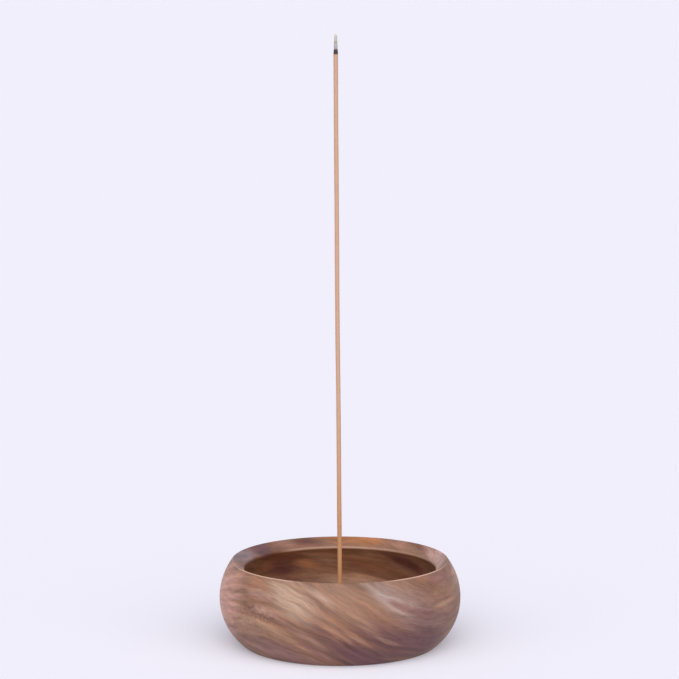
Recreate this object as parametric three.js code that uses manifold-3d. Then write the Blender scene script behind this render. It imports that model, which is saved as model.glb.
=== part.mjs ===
// Incense burner: a squat turned walnut bowl, a brass ash dish that lifts out of it, and one stick of
// incense standing in a brass socket at the middle of the dish.
// Millimetres, +Z up. The origin is the centre of the bowl's foot, on the surface that it stands on.
import * as THREE from "three";
import { mergeVertices } from "three/addons/utils/BufferGeometryUtils.js";
import Module from "manifold-3d";

const wasm = await Module();
wasm.setup();

// ---------------------------------------------------------------- driving dimensions

// Bowl, outside: two arcs that meet where the bowl is widest, one down to the foot and one up to the crest.
const bowl_height = 30.5;
const belly_radius = 43.5;
const belly_height = 16.8;
const foot_inset = 8.5; // how far the foot's edge comes in from the belly
const crest_inset = 4.7;

// Bowl, inside: the cavity runs a wall's thickness inside the belly, under an inward sloping rim.
const wall = 5.5;
const rim_slope = THREE.MathUtils.degToRad(35);
const lip_round = 0.6;
const floor_thickness = 7.7;
const cove_radius = 6;

// Bowl, underneath: the recess that leaves a ring to stand on.
const foot_ring_width = 9;
const foot_recess_depth = 1.5;
const foot_recess_round = 1;

// Ash dish: thin spun brass, with its edge turned up.
const dish_thickness = 0.8;
const dish_rim_height = 3.4;
const dish_bend_radius = 2.2;
const dish_clearance = 1.2; // to the bowl's cove, and to the mouth it lifts through

// Incense stick: raw paste, then the charred band behind the ember, then the ash that still stands.
const stick_length = 210;
const stick_radius = 0.8;
const char_length = 1.4;
const ash_length = 5.3;
const ash_radius = 0.65;
const ash_tip_radius = 0.35;
const ash_tip_length = 0.7;
const stick_end_break = 0.15;
const stick_lean = THREE.MathUtils.degToRad(0.45); // towards -X, as it rests loose in its bore

// Stick socket: a turned brass post whose threaded spigot passes down through the dish.
const bore_depth = 8;
const bore_clearance = 0.25; // radial, round the stick
const bore_mouth_flare = 0.7;
const post_wall = 1.4;
const post_collar_proud = 0.8;
const post_collar_height = 2.2;
const post_cove_radius = 2;
const flange_radius = 7;
const flange_thickness = 1.2;
const spigot_radius = 2;
const spigot_length = 3.2; // below the dish's upper face

// Socket nut: a thin hexagon nut under the dish, which also centres the dish in the floor's recess.
const nut_across_flats = 7;
const nut_thickness = 1.8;
const nut_chamfer_height = 0.4;
const nut_chamfer_width = 0.8;
const thread_clearance = 0.1; // radial, round the spigot
const nut_recess_clearance = 0.6;

const seat_gap = 0.05; // between faces that rest on each other
const edge_break = 0.3; // small chamfer on turned brass
const cutter_overrun = 1; // a cutter's reach past each face that it cuts through

// Facets round each turned piece.
const bowl_segments = 64;
const dish_segments = 48;
const post_segments = 28;
const stick_segments = 14;

// ---------------------------------------------------------------- helpers

const at = (r, z) => new THREE.Vector2(r, z);

// Points of a circular arc in the (radius, height) plane, angles in degrees from +radius, counter-clockwise.
function arc(centre, radius, from, to, steps) {
  const [a, b] = [from, to].map(THREE.MathUtils.degToRad);
  return new THREE.EllipseCurve(centre.x, centre.y, radius, radius, a, b, b < a).getPoints(steps);
}

// Direction from one point to another, in degrees from +radius.
const bearing = (from, to) => THREE.MathUtils.radToDeg(to.clone().sub(from).angle());
const bearingBelow = (from, to) => bearing(from, to) - 360; // for a point below the centre's height

// Revolves an outline of (radius, height) points about Z. The outline runs counter-clockwise.
function turned(outline, segments) {
  return new THREE.LatheGeometry(outline, segments).rotateX(Math.PI / 2);
}

// First point on a line that lies at a distance from a centre.
function meetsCircle(start, direction, centre, distance) {
  const offset = start.clone().sub(centre);
  const along = offset.dot(direction);
  const travel = -along - Math.sqrt(along ** 2 - offset.lengthSq() + distance ** 2);
  return start.clone().addScaledVector(direction, travel);
}

// A geometry as a solid that booleans can work on, and back.
function solid(geometry) {
  const bare = geometry.clone();
  bare.deleteAttribute("normal");
  bare.deleteAttribute("uv");
  const merged = mergeVertices(bare);
  const mesh = { numProp: 3, vertProperties: merged.attributes.position.array, triVerts: merged.index.array };
  return new wasm.Manifold(new wasm.Mesh(mesh));
}

function geometryOf(manifold) {
  const mesh = manifold.getMesh();
  const geometry = new THREE.BufferGeometry();
  geometry.setAttribute("position", new THREE.BufferAttribute(mesh.vertProperties, 3));
  geometry.setIndex(new THREE.BufferAttribute(mesh.triVerts, 1));
  geometry.computeVertexNormals();
  return geometry;
}

function named(name, geometry, material) {
  const mesh = new THREE.Mesh(geometry, material);
  mesh.name = name;
  return mesh;
}

function finish(color, roughness, metalness) {
  return new THREE.MeshStandardMaterial({ color, roughness, metalness });
}

// ---------------------------------------------------------------- materials

const walnut = finish(0x8f6850, 0.55, 0);
const brass = finish(0xb8924a, 0.35, 1);
const paste = finish(0xc89a70, 0.9, 0);
const char = finish(0x2a2322, 0.95, 0);
const ash = finish(0xaaa597, 1, 0);

// ---------------------------------------------------------------- shared shape of the bowl

const foot_radius = belly_radius - foot_inset;
const crest_radius = belly_radius - crest_inset;

// Radius of the arc that stands upright at the belly and passes through a point inside and above or below it.
const bellyArc = (inset, rise) => (inset ** 2 + rise ** 2) / (2 * inset);
const lower_arc = bellyArc(foot_inset, belly_height);
const upper_arc = bellyArc(crest_inset, bowl_height - belly_height);
const lower_centre = at(belly_radius - lower_arc, belly_height);
const upper_centre = at(belly_radius - upper_arc, belly_height);
const cavity_lower_arc = lower_arc - wall;
const cavity_upper_arc = upper_arc - wall;

// Cove: rounds the flat floor into the cavity's wall.
const cove_height = floor_thickness + cove_radius;
const cove_centre = at(
  lower_centre.x + Math.sqrt((cavity_lower_arc - cove_radius) ** 2 - (belly_height - cove_height) ** 2),
  cove_height,
);

// Rim: slopes in and down from the crest, and ends in a rounded lip that the cavity's wall meets from below.
const crest = at(crest_radius, bowl_height);
const rim_direction = at(-Math.cos(rim_slope), -Math.sin(rim_slope));
const rim_normal = at(-Math.sin(rim_slope), Math.cos(rim_slope));
const lip_centre = meetsCircle(
  crest.clone().addScaledVector(rim_normal, -lip_round),
  rim_direction,
  upper_centre,
  cavity_upper_arc + lip_round,
);
const mouth_radius = lip_centre.x - lip_round;

// Recess in the floor for the socket's nut.
const nut_corner_radius = nut_across_flats / Math.sqrt(3);
const nut_recess_radius = nut_corner_radius + nut_recess_clearance;
const dish_floor = floor_thickness + seat_gap + dish_thickness; // height of the dish's upper face
const nut_recess_floor = dish_floor - spigot_length - nut_recess_clearance;

// ---------------------------------------------------------------- pieces

function bowlGeometry() {
  const recess_radius = foot_radius - foot_ring_width;
  const recess_round_centre = at(recess_radius - foot_recess_round, foot_recess_depth - foot_recess_round);
  return turned(
    [
      at(0, foot_recess_depth),
      ...arc(recess_round_centre, foot_recess_round, 90, 0, 3),
      at(recess_radius, 0),
      ...arc(lower_centre, lower_arc, bearingBelow(lower_centre, at(foot_radius, 0)), 0, 10),
      ...arc(upper_centre, upper_arc, 0, bearing(upper_centre, crest), 7).slice(1),
      ...arc(lip_centre, lip_round, bearing(at(0, 0), rim_normal), bearing(lip_centre, upper_centre), 4),
      ...arc(upper_centre, cavity_upper_arc, bearing(upper_centre, lip_centre), 0, 6).slice(1),
      ...arc(lower_centre, cavity_lower_arc, 0, bearingBelow(lower_centre, cove_centre), 4).slice(1),
      ...arc(cove_centre, cove_radius, bearingBelow(lower_centre, cove_centre), -90, 4).slice(1),
      at(nut_recess_radius, floor_thickness),
      at(nut_recess_radius, nut_recess_floor),
      at(0, nut_recess_floor),
    ],
    bowl_segments,
  );
}

function dishGeometry() {
  const radius = Math.min(mouth_radius, cove_centre.x) - dish_clearance;
  const hole_radius = spigot_radius + thread_clearance;
  const underside = dish_floor - dish_thickness;
  const bend = at(radius - dish_bend_radius, underside + dish_bend_radius);
  const rolled_edge = at(radius - dish_thickness / 2, underside + dish_rim_height - dish_thickness / 2);
  return turned(
    [
      at(hole_radius, underside),
      ...arc(bend, dish_bend_radius, -90, 0, 4),
      ...arc(rolled_edge, dish_thickness / 2, 0, 180, 4),
      ...arc(bend, dish_bend_radius - dish_thickness, 0, -90, 4),
      at(hole_radius, dish_floor),
      at(hole_radius, underside),
    ],
    dish_segments,
  );
}

function socketGeometry() {
  const bore_radius = stick_radius + bore_clearance;
  const post_radius = bore_radius + post_wall;
  const collar_radius = post_radius + post_collar_proud;
  const flange_foot = dish_floor + seat_gap;
  const flange_top = flange_foot + flange_thickness;
  const bore_floor = dish_floor;
  const post_top = bore_floor + bore_depth;
  const spigot_end = dish_floor - spigot_length;
  const cove = at(post_radius + post_cove_radius, flange_top + post_cove_radius);
  return turned(
    [
      at(0, spigot_end),
      at(spigot_radius - edge_break, spigot_end),
      at(spigot_radius, spigot_end + edge_break),
      at(spigot_radius, flange_foot),
      at(flange_radius, flange_foot),
      at(flange_radius, flange_top - edge_break),
      at(flange_radius - edge_break, flange_top),
      ...arc(cove, post_cove_radius, 270, 180, 4),
      at(post_radius, post_top - post_collar_height),
      at(collar_radius, post_top - post_collar_height + post_collar_proud),
      at(collar_radius, post_top - edge_break),
      at(collar_radius - edge_break, post_top),
      at(bore_radius + bore_mouth_flare, post_top),
      at(bore_radius, post_top - bore_mouth_flare),
      at(bore_radius, bore_floor),
      at(0, bore_floor),
    ],
    post_segments,
  );
}

// The hexagon is a prism cut round its corners by a chamfered disc, less the threaded hole.
function nutGeometry() {
  const corner = (_, i) => at(nut_corner_radius, 0).rotateAround(at(0, 0), (i * Math.PI) / 3);
  const hexagon = new THREE.Shape(Array.from({ length: 6 }, corner));
  const prism = new THREE.ExtrudeGeometry(hexagon, { depth: nut_thickness, bevelEnabled: false });
  const face_radius = nut_across_flats / 2;
  const disc_radius = face_radius + nut_chamfer_width;
  const chamfered = turned(
    [
      at(0, 0),
      at(face_radius, 0),
      at(disc_radius, nut_chamfer_height),
      at(disc_radius, nut_thickness - nut_chamfer_height),
      at(face_radius, nut_thickness),
      at(0, nut_thickness),
    ],
    post_segments,
  );
  const hole_radius = spigot_radius + thread_clearance;
  const hole_length = nut_thickness + 2 * cutter_overrun;
  const hole = new THREE.CylinderGeometry(hole_radius, hole_radius, hole_length, post_segments);
  hole.rotateX(Math.PI / 2).translate(0, 0, nut_thickness / 2);
  return geometryOf(solid(prism).intersect(solid(chamfered)).subtract(solid(hole)));
}

// The stick's three stretches share one lean. Each outline is (radius, height above the stick's foot).
function stickPieces() {
  const ash_foot = stick_length - ash_length;
  const char_foot = ash_foot - char_length;
  const pasteOutline = [
    at(0, 0),
    at(stick_radius - stick_end_break, 0),
    at(stick_radius, stick_end_break),
    at(stick_radius, char_foot),
    at(0, char_foot),
  ];
  const charOutline = [
    at(0, char_foot),
    at(stick_radius, char_foot),
    at(ash_radius, ash_foot),
    at(0, ash_foot),
  ];
  const ashOutline = [
    at(0, ash_foot),
    at(ash_radius, ash_foot),
    at(ash_radius, stick_length - ash_tip_length),
    at(ash_tip_radius, stick_length - stick_end_break),
    at(0, stick_length),
  ];
  const stick = new THREE.Group();
  stick.add(
    named("incense_stick", turned(pasteOutline, stick_segments), paste),
    named("char_band", turned(charOutline, stick_segments).translate(0, 0, seat_gap), char),
    named("ash_column", turned(ashOutline, stick_segments).translate(0, 0, 2 * seat_gap), ash),
  );
  stick.position.z = dish_floor + seat_gap;
  stick.rotation.y = -stick_lean;
  return stick;
}

// ---------------------------------------------------------------- assembly

const burner = new THREE.Group();
const nut = named("socket_nut", nutGeometry(), brass);
nut.position.z = dish_floor - dish_thickness - seat_gap - nut_thickness;
burner.add(
  named("bowl", bowlGeometry(), walnut),
  named("ash_dish", dishGeometry(), brass),
  named("stick_socket", socketGeometry(), brass),
  nut,
  stickPieces(),
);

export default burner;
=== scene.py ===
# %% [markdown]
# # An incense burner: a turned walnut bowl, a brass ash dish, and one stick of incense
# The bowl is turned from one block of walnut and only sanded and oiled, so its figure does the
# decorating. A thin spun brass dish lies inside it and lifts out with the socket that holds the stick.
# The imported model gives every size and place. This lesson makes the surfaces fine enough to look at
# closely and gives each one its finish. We start by loading that model, which stays where it is.

import bpy
import numpy as np
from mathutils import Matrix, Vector


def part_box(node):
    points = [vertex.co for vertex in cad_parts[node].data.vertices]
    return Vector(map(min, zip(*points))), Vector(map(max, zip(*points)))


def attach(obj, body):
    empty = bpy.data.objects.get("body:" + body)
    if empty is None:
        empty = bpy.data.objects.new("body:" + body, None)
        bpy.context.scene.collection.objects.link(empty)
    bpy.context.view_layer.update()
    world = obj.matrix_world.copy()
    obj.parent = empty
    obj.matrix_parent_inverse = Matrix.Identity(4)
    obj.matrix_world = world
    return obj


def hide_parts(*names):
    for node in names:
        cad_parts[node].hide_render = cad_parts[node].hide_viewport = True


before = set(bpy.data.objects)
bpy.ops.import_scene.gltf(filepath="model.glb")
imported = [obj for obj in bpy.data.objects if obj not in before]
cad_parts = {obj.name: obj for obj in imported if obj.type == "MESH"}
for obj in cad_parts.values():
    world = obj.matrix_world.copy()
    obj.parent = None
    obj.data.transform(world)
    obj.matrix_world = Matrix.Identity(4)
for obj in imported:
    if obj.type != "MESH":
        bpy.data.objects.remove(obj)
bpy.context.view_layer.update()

# %% [markdown]
# ## Sizes
# A maker works in millimetres and Blender in metres, so every shape below is worked out in millimetres
# and scaled once, when its mesh is made. What the imported model knows, such as how wide and how high a
# piece is, is read from it. Only the shape between those limits is given here.

# %% Read sizes from the imported model
MM = 0.001
SEAT_GAP = 0.05  # mm left between pieces that rest on each other


def box_mm(node):
    """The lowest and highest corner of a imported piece, in millimetres."""
    return (np.array(corner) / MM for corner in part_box(node))


bowl_low, bowl_high = box_mm("bowl")
dish_low, dish_high = box_mm("ash_dish")
socket_low, socket_high = box_mm("stick_socket")
nut_low, nut_high = box_mm("socket_nut")
paste_low, paste_high = box_mm("incense_stick")
char_low, char_high = box_mm("char_band")
ash_low, ash_high = box_mm("ash_column")

belly_radius = bowl_high[0]
bowl_height = bowl_high[2]
print(f"bowl {2 * belly_radius:.1f} mm across, {bowl_height:.1f} mm high")
print(f"dish {2 * dish_high[0]:.1f} mm across, tip of the ash {ash_high[2]:.1f} mm up")

# %% [markdown]
# ## Outlines
# A lathe makes every piece of this burner, so each shape is an outline of (radius, height) points that
# runs once round the piece's section, counter-clockwise, with the material on its left. It could be
# drawn as a Bezier curve and spun with a Screw modifier, but plain arrays let the same outline be
# rounded, respaced and measured. Straight stretches need only their ends, and arcs are worked out.

# %% Points, arcs and directions in a section
ARC_STEP = 0.1  # mm between the points of an arc


def at(radius, height):
    """One point of an outline, as a row."""
    return np.array([[radius, height]], float)


def arc(centre, radius, start, end):
    """Points at centre + radius (cos a, sin a), with a going evenly from start to end, in degrees."""
    a = np.radians([start, end])
    steps = max(4, round(abs(radius * (a[1] - a[0])) / ARC_STEP))
    a = np.linspace(*a, steps)
    return np.column_stack([centre[0] + radius * np.cos(a), centre[1] + radius * np.sin(a)])


def bearing(start, end):
    """Direction from one point to another in degrees, from +radius, between -180 and 180."""
    return np.degrees(np.arctan2(end[1] - start[1], end[0] - start[0]))


print("a quarter circle of 1 mm has", len(arc((0, 0), 1, 0, 90)), "points")

# %% [markdown]
# A real edge is never a perfect corner: sandpaper or a burnishing tool rounds it. Each outline is
# therefore sanded, which averages every point with its neighbours along the outline. Flat and gently
# curved stretches stay where they are and corners become small round edges that catch the light.
# After that the points are spaced again, close where the outline bends and wide where it runs straight.

# %% Sand an outline and space its points
FINE_STEP = 0.04  # mm between points while an outline is being sanded
REACH = 4  # a sanding average reaches this many softnesses either way
BEND_SHARE = 2.5  # how many more points a bend gets than a straight stretch
BEND_POWER = 0.7  # below 1, so that a gentle bend gets its share too


def respaced(outline, position):
    """Points of an outline at the given distances along it, by straight interpolation."""
    along = np.concatenate([[0], np.cumsum(np.hypot(*np.diff(outline, axis=0).T))])
    return np.column_stack([np.interp(position * along[-1], along, column) for column in outline.T])


def sanded(outline, softness, count, ring=False):
    """Averages each point with its neighbours under a bell curve whose width is softness, in mm.

    An open outline starts and ends on the axis, where its mirror image carries it on. A ring closes on
    itself. The count of points is then shared out in proportion to 1 + share * turning^power, where
    turning is the change of heading per mm, capped at that of an arc whose radius is the softness."""
    length = np.hypot(*np.diff(outline, axis=0).T).sum()
    fine = respaced(outline, np.linspace(0, 1, round(length / FINE_STEP)))
    pad = round(REACH * softness / FINE_STEP)
    mirror = np.array([-1, 1])
    before = fine[-pad - 1:-1] if ring else fine[pad:0:-1] * mirror
    after = fine[1:pad + 1] if ring else fine[-2:-pad - 2:-1] * mirror
    whole = np.vstack([before, fine, after])
    bell = np.exp(-0.5 * (np.arange(-pad, pad + 1) * FINE_STEP / softness) ** 2)
    smooth = np.column_stack([np.convolve(column, bell / bell.sum(), "valid") for column in whole.T])
    step = np.gradient(smooth, axis=0)
    heading = np.unwrap(np.arctan2(step[:, 1], step[:, 0]))
    turning = np.abs(np.gradient(heading)) / np.hypot(*step.T)
    weight = 1 + BEND_SHARE * np.minimum(turning, 1 / softness) ** BEND_POWER
    share = np.concatenate([[0], np.cumsum((weight[1:] + weight[:-1]) / 2)])
    return np.column_stack([
        np.interp(np.linspace(0, share[-1], count), share, column) for column in smooth.T
    ])


corner = sanded(np.vstack([at(0, 0), at(5, 0), at(5, 5), at(0, 5)]), softness=0.5, count=60)
lost = np.hypot(*(corner - at(5, 5)).T).min()
print(f"sanding with a softness of 0.5 mm takes {lost:.2f} mm off a square corner")

# %% [markdown]
# ## Skins
# A skin is a surface over a grid of points: the rows follow an outline and the columns go round the
# axis. A row that lies on the axis closes to a single point, so the surface has no hole there. The grid
# is worked out as one array, which also lets a piece be less than perfectly round: a threaded spigot, a
# hexagon and a hand-rolled stick are all outlines whose radius also depends on the angle.

# %% Turn a grid of points into a mesh
def round_grid(outline, columns):
    """x = r cos a, y = r sin a, z = height, for every outline point and evenly spaced angles a."""
    a = np.linspace(0, 2 * np.pi, columns, endpoint=False)
    radius, height = outline[:, :1], outline[:, 1:]
    return np.stack([radius * np.cos(a), radius * np.sin(a), height + 0 * a], axis=-1)


def skin(name, grid, ring=False):
    """Joins a grid of points in mm with faces that look outwards, and links it as an object in metres.

    Columns always close on themselves. Rows close too on a ring, and otherwise the first and the last
    row are each drawn together into one pole."""
    rows, columns = grid.shape[:2]
    index = np.arange(rows * columns).reshape(rows, columns)
    if ring:
        index = np.vstack([index[:-1], index[:1]])
    else:
        index[0] = index[0, 0]
        index[-1] = index[-1, 0]
    across = np.roll(index, -1, axis=1)
    faces = np.stack([index[:-1], across[:-1], across[1:], index[1:]], axis=-1)
    quads = faces if ring else faces[1:-1]
    caps = [] if ring else [faces[0][:, [0, 2, 3]], faces[-1][:, [0, 1, 2]]]
    corners = np.concatenate([quads.ravel()] + [cap.ravel() for cap in caps])
    used, corners = np.unique(corners, return_inverse=True)
    quads, triangles = np.split(corners, [quads.size])
    mesh = bpy.data.meshes.new(name)
    points = grid.reshape(-1, 3)[used] * MM
    mesh.from_pydata(points.tolist(), [], quads.reshape(-1, 4).tolist() + triangles.reshape(-1, 3).tolist())
    mesh.shade_smooth()
    made = bpy.data.objects.new(name, mesh)
    bpy.context.scene.collection.objects.link(made)
    size = np.ptp(points, axis=0) / MM
    print(f"{name}: {len(mesh.polygons)} faces, {size[0]:.2f} x {size[1]:.2f} x {size[2]:.2f} mm")
    return made


# %% [markdown]
# ## The bowl
# Outside, two arcs meet upright where the bowl is widest. The upper one leans in to a crisp crest, the
# rim slopes inwards and down from there to a small round lip, and the cavity undercuts the lip, a
# wall's thickness inside the outside. The foot is a flat ring round a shallow recess, and a second
# recess in the floor takes the nut under the dish. A carver would block this out with a spin and some
# bevels. Working the two arcs out keeps both walls parallel.

# %% Bowl sizes
belly_height = 16.8
foot_inset = 8.5
crest_inset = 4.7
wall = 5.5
rim_slope = 35
lip_round = 0.6
lip_land = 0.35  # mm, the narrow upright band that a turner leaves under the rim
lip_end = 250  # degrees, where the lip's small arc runs out under the rim
lip_blend = 6  # degrees of the cavity's wall that are left out under the lip, for the sanding to join
floor_height = dish_low[2] - SEAT_GAP
cove_radius = 6
foot_ring_width = 9
foot_recess_depth = 1.5
foot_recess_round = 1
nut_clearance = 0.6
nut_recess_radius = nut_high[0] + nut_clearance
nut_recess_floor = socket_low[2] - nut_clearance

foot_radius = belly_radius - foot_inset
lower_arc = (foot_inset**2 + belly_height**2) / (2 * foot_inset)
rise = bowl_height - belly_height
upper_arc = (crest_inset**2 + rise**2) / (2 * crest_inset)
lower_centre = np.array([belly_radius - lower_arc, belly_height])
upper_centre = np.array([belly_radius - upper_arc, belly_height])
print(f"arcs of {lower_arc:.1f} mm below the belly and {upper_arc:.1f} mm above it")

# %% The rim, from the crest down to the lip
crest = np.array([belly_radius - crest_inset, bowl_height])
inward = -np.array([np.cos(np.radians(rim_slope)), np.sin(np.radians(rim_slope))])
below_rim = np.array([-inward[1], inward[0]])
start = crest + below_rim * lip_round - upper_centre
lip_distance = upper_arc - wall + lip_round
travel = -start @ inward - np.sqrt((start @ inward) ** 2 - start @ start + lip_distance**2)
lip_centre = upper_centre + start + travel * inward
mouth_radius = lip_centre[0] - lip_round
print(f"mouth {2 * mouth_radius:.1f} mm across, lip {lip_centre[1]:.1f} mm up")

# %% The cove, which rounds the floor into the wall
cove_height = floor_height + cove_radius
cove_reach = lower_arc - wall - cove_radius
cove_centre = np.array([
    lower_centre[0] + np.sqrt(cove_reach**2 - (belly_height - cove_height) ** 2), cove_height
])
print(f"floor flat out to {cove_centre[0]:.1f} mm from the axis")


# %% The bowl's whole outline
def bowl_outline():
    """Underside, foot, outside, rim, lip, cavity wall, cove, floor and nut recess, axis to axis."""
    recess_radius = foot_radius - foot_ring_width
    recess_corner = (recess_radius - foot_recess_round, foot_recess_depth - foot_recess_round)
    return np.vstack([
        at(0, foot_recess_depth),
        arc(recess_corner, foot_recess_round, 90, 0),
        at(recess_radius, 0),
        arc(lower_centre, lower_arc, bearing(lower_centre, (foot_radius, 0)), 0),
        arc(upper_centre, upper_arc, 0, bearing(upper_centre, crest)),
        arc(lip_centre, lip_round, 90 + rim_slope, 180),
        arc(lip_centre - (0, lip_land), lip_round, 180, lip_end),
        arc(upper_centre, upper_arc - wall, bearing(upper_centre, lip_centre) - lip_blend, 0),
        arc(lower_centre, lower_arc - wall, 0, bearing(lower_centre, cove_centre)),
        arc(cove_centre, cove_radius, bearing(lower_centre, cove_centre), -90),
        at(nut_recess_radius, floor_height),
        at(nut_recess_radius, nut_recess_floor),
        at(0, nut_recess_floor),
    ])


BOWL_COLUMNS = 360
BOWL_ROWS = 230
bowl_section = sanded(bowl_outline(), softness=0.2, count=BOWL_ROWS)
bowl = skin("walnut_bowl", round_grid(bowl_section, columns=BOWL_COLUMNS))
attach(bowl, "bowl")
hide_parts("bowl")

# %% [markdown]
# ## The ash dish
# The dish is spun from thin sheet brass over a form: a flat floor, a tight bend and a low wall whose
# edge is burnished round. Its outline closes on itself round the hole for the socket's spigot, so its
# skin is a ring, with an inside, an outside and a true thickness.

# %% Spin the dish
dish_thickness = 0.8
dish_bend = 2.2
dish_floor = dish_low[2] + dish_thickness
dish_hole_radius = 2.1


def dish_outline():
    """Underside, outer bend, rolled edge, inner bend, floor and hole."""
    radius = dish_high[0]
    bend_centre = (radius - dish_bend, dish_low[2] + dish_bend)
    edge_centre = (radius - dish_thickness / 2, dish_high[2] - dish_thickness / 2)
    return np.vstack([
        at(dish_hole_radius, dish_low[2]),
        arc(bend_centre, dish_bend, -90, 0),
        arc(edge_centre, dish_thickness / 2, 0, 180),
        arc(bend_centre, dish_bend - dish_thickness, 0, -90),
        at(dish_hole_radius, dish_floor),
        at(dish_hole_radius, dish_low[2]),
    ])


dish_section = sanded(dish_outline(), softness=0.1, count=140, ring=True)
dish = skin("spun_dish", round_grid(dish_section, columns=288), ring=True)
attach(dish, "dish")
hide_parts("ash_dish")

# %% [markdown]
# ## The socket
# The socket is turned from brass bar: a flange that sits on the dish, a slender post that swells into a
# collar round the mouth of the bore, and a threaded spigot that goes down through the dish. The thread
# is cut into the outline itself. A screw thread is a radius that falls and rises once per pitch, and
# shifts by one pitch for each turn round the axis.

# %% Turn the socket
stick_radius = (paste_high[1] - paste_low[1]) / 2
bore_clearance = 0.25
bore_radius = stick_radius + bore_clearance
bore_flare = 0.7
post_wall = 1.4
post_radius = bore_radius + post_wall
collar_swell = 0.8
collar_radius = post_radius + collar_swell
collar_height = 2.2
flange_thickness = 1.2
post_cove = 2
spigot_radius = 2
turned_break = 0.3  # mm, the small chamfer on every turned edge
seat = dish_floor + SEAT_GAP


def socket_outline():
    """Spigot, flange, cove, post, collar, flared mouth and blind bore, axis to axis."""
    low, top = socket_low[2], socket_high[2]
    flange_top = seat + flange_thickness
    cove = (post_radius + post_cove, flange_top + post_cove)
    collar_foot = top - collar_height
    return np.vstack([
        at(0, low),
        at(spigot_radius - turned_break, low),
        at(spigot_radius, low + turned_break),
        at(spigot_radius, seat),
        at(socket_high[0], seat),
        at(socket_high[0], flange_top - turned_break),
        at(socket_high[0] - turned_break, flange_top),
        arc(cove, post_cove, 270, 180),
        at(post_radius, collar_foot),
        at(collar_radius, collar_foot + collar_swell),
        at(collar_radius, top - turned_break),
        at(collar_radius - turned_break, top),
        at(bore_radius + bore_flare, top),
        at(bore_radius, top - bore_flare),
        at(bore_radius, dish_floor),
        at(0, dish_floor),
    ])


# %% Cut the thread
THREAD_PITCH = 0.7
THREAD_DEPTH = 0.22
THREAD_START = 0.4  # mm over which the thread deepens from the spigot's end
THREAD_STOP = 0.5  # mm of plain spigot under the flange
THREAD_FADE = 0.2  # mm over which the thread runs out there
WALL_DEPTH = 0.1  # mm outwards from the spigot's end face, over which the cut reaches its depth
WALL_SLACK = 0.05  # mm past the spigot's radius that still count as its wall


def threaded(grid):
    """Moves the spigot's wall in by a triangle wave of height / pitch - angle / full turn."""
    x, y, z = np.moveaxis(grid, -1, 0)
    radius = np.hypot(x, y)
    turn = (z / THREAD_PITCH - np.arctan2(y, x) / (2 * np.pi)) % 1
    starts = np.clip((z - socket_low[2]) / THREAD_START, 0, 1)
    stops = np.clip((seat - THREAD_STOP - z) / THREAD_FADE, 0, 1)
    on_wall = np.clip((radius - spigot_radius + turned_break) / WALL_DEPTH, 0, 1)
    on_wall = on_wall * (radius < spigot_radius + WALL_SLACK)
    depth = THREAD_DEPTH * np.abs(2 * turn - 1) * starts * stops * on_wall
    shrink = 1 - depth / np.maximum(radius, 1e-6)
    return np.stack([x * shrink, y * shrink, z], axis=-1)


socket_section = sanded(socket_outline(), softness=0.06, count=420)
socket = skin("turned_socket", threaded(round_grid(socket_section, columns=128)))
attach(socket, "dish")
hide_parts("stick_socket")

# %% [markdown]
# ## The nut
# A thin hexagon nut holds the socket to the dish from below. Its side is a radius that depends on the
# angle: the distance to the nearest flat, divided by the cosine of the angle from that flat's middle.
# The corners are then turned back by a chamfer, which is a limit on the radius near each face.

# %% Make the nut
NUT_FLATS = 6
nut_flat_radius = nut_high[1]
nut_hole_radius = dish_hole_radius
nut_chamfer_slope = 0.5  # mm of height for each mm of radius past the flats
nut_edge = 0.001  # mm, keeps the two ends of the outer wall apart from the faces


def nut_grid(columns=240, rows=120):
    """A ring round the hole whose outer points are pushed out to the hexagon, chamfer included."""
    low, high = nut_low[2], nut_high[2]
    outline = np.vstack([
        at(nut_hole_radius + turned_break, low),
        at(nut_flat_radius, low),
        at(nut_high[0], low + nut_edge),
        at(nut_high[0], high - nut_edge),
        at(nut_flat_radius, high),
        at(nut_hole_radius + turned_break, high),
        at(nut_hole_radius, high - turned_break),
        at(nut_hole_radius, low + turned_break),
        at(nut_hole_radius + turned_break, low),
    ])
    grid = round_grid(sanded(outline, softness=0.06, count=rows, ring=True), columns)
    x, y, z = np.moveaxis(grid, -1, 0)
    radius, angle = np.hypot(x, y), np.arctan2(y, x)
    from_flat = (angle % (2 * np.pi / NUT_FLATS)) - np.pi / NUT_FLATS
    side = nut_flat_radius / np.cos(from_flat)
    outer = np.minimum(radius, side)
    drop = np.maximum(outer - nut_flat_radius, 0) * nut_chamfer_slope
    z = np.clip(z, low + drop, high - drop)
    return np.stack([outer * np.cos(angle), outer * np.sin(angle), z], axis=-1)


nut = skin("hex_nut", nut_grid(), ring=True)
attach(nut, "dish")
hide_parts("socket_nut")

# %% [markdown]
# ## The stick
# The stick is incense paste pressed through a die and dried, so it is round but never quite straight,
# and its skin is faintly ribbed along its length. It stands loose in the socket and leans a little. At
# the top it has burnt: first a black band where the ember died, then the ash that still stands. All
# three stretches share one wandering centre line, worked out here as a sum of slow sine waves.

# %% The line that the stick follows
stick_foot = paste_low[2]
ash_middle = (ash_low + ash_high) / 2
lean = -ash_middle[0] / (ash_middle[2] - stick_foot)
print(f"the stick leans {np.degrees(np.arctan(lean)):.2f} degrees")
FREE_HEIGHT = 30  # mm above its foot, where the stick's wander is full


def stick_line(height):
    """Sideways drift of the stick's centre, in mm: the lean, and a slow wander that starts at the foot."""
    up = height - stick_foot
    free = np.clip(up / FREE_HEIGHT, 0, 1)
    wander_x = 0.06 * np.sin(up / 29 + 0.4) + 0.03 * np.sin(up / 11 + 1.0)
    wander_y = 0.05 * np.sin(up / 37 + 1.2) + 0.02 * np.sin(up / 13)
    return -lean * up + free * wander_x, free * wander_y


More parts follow.
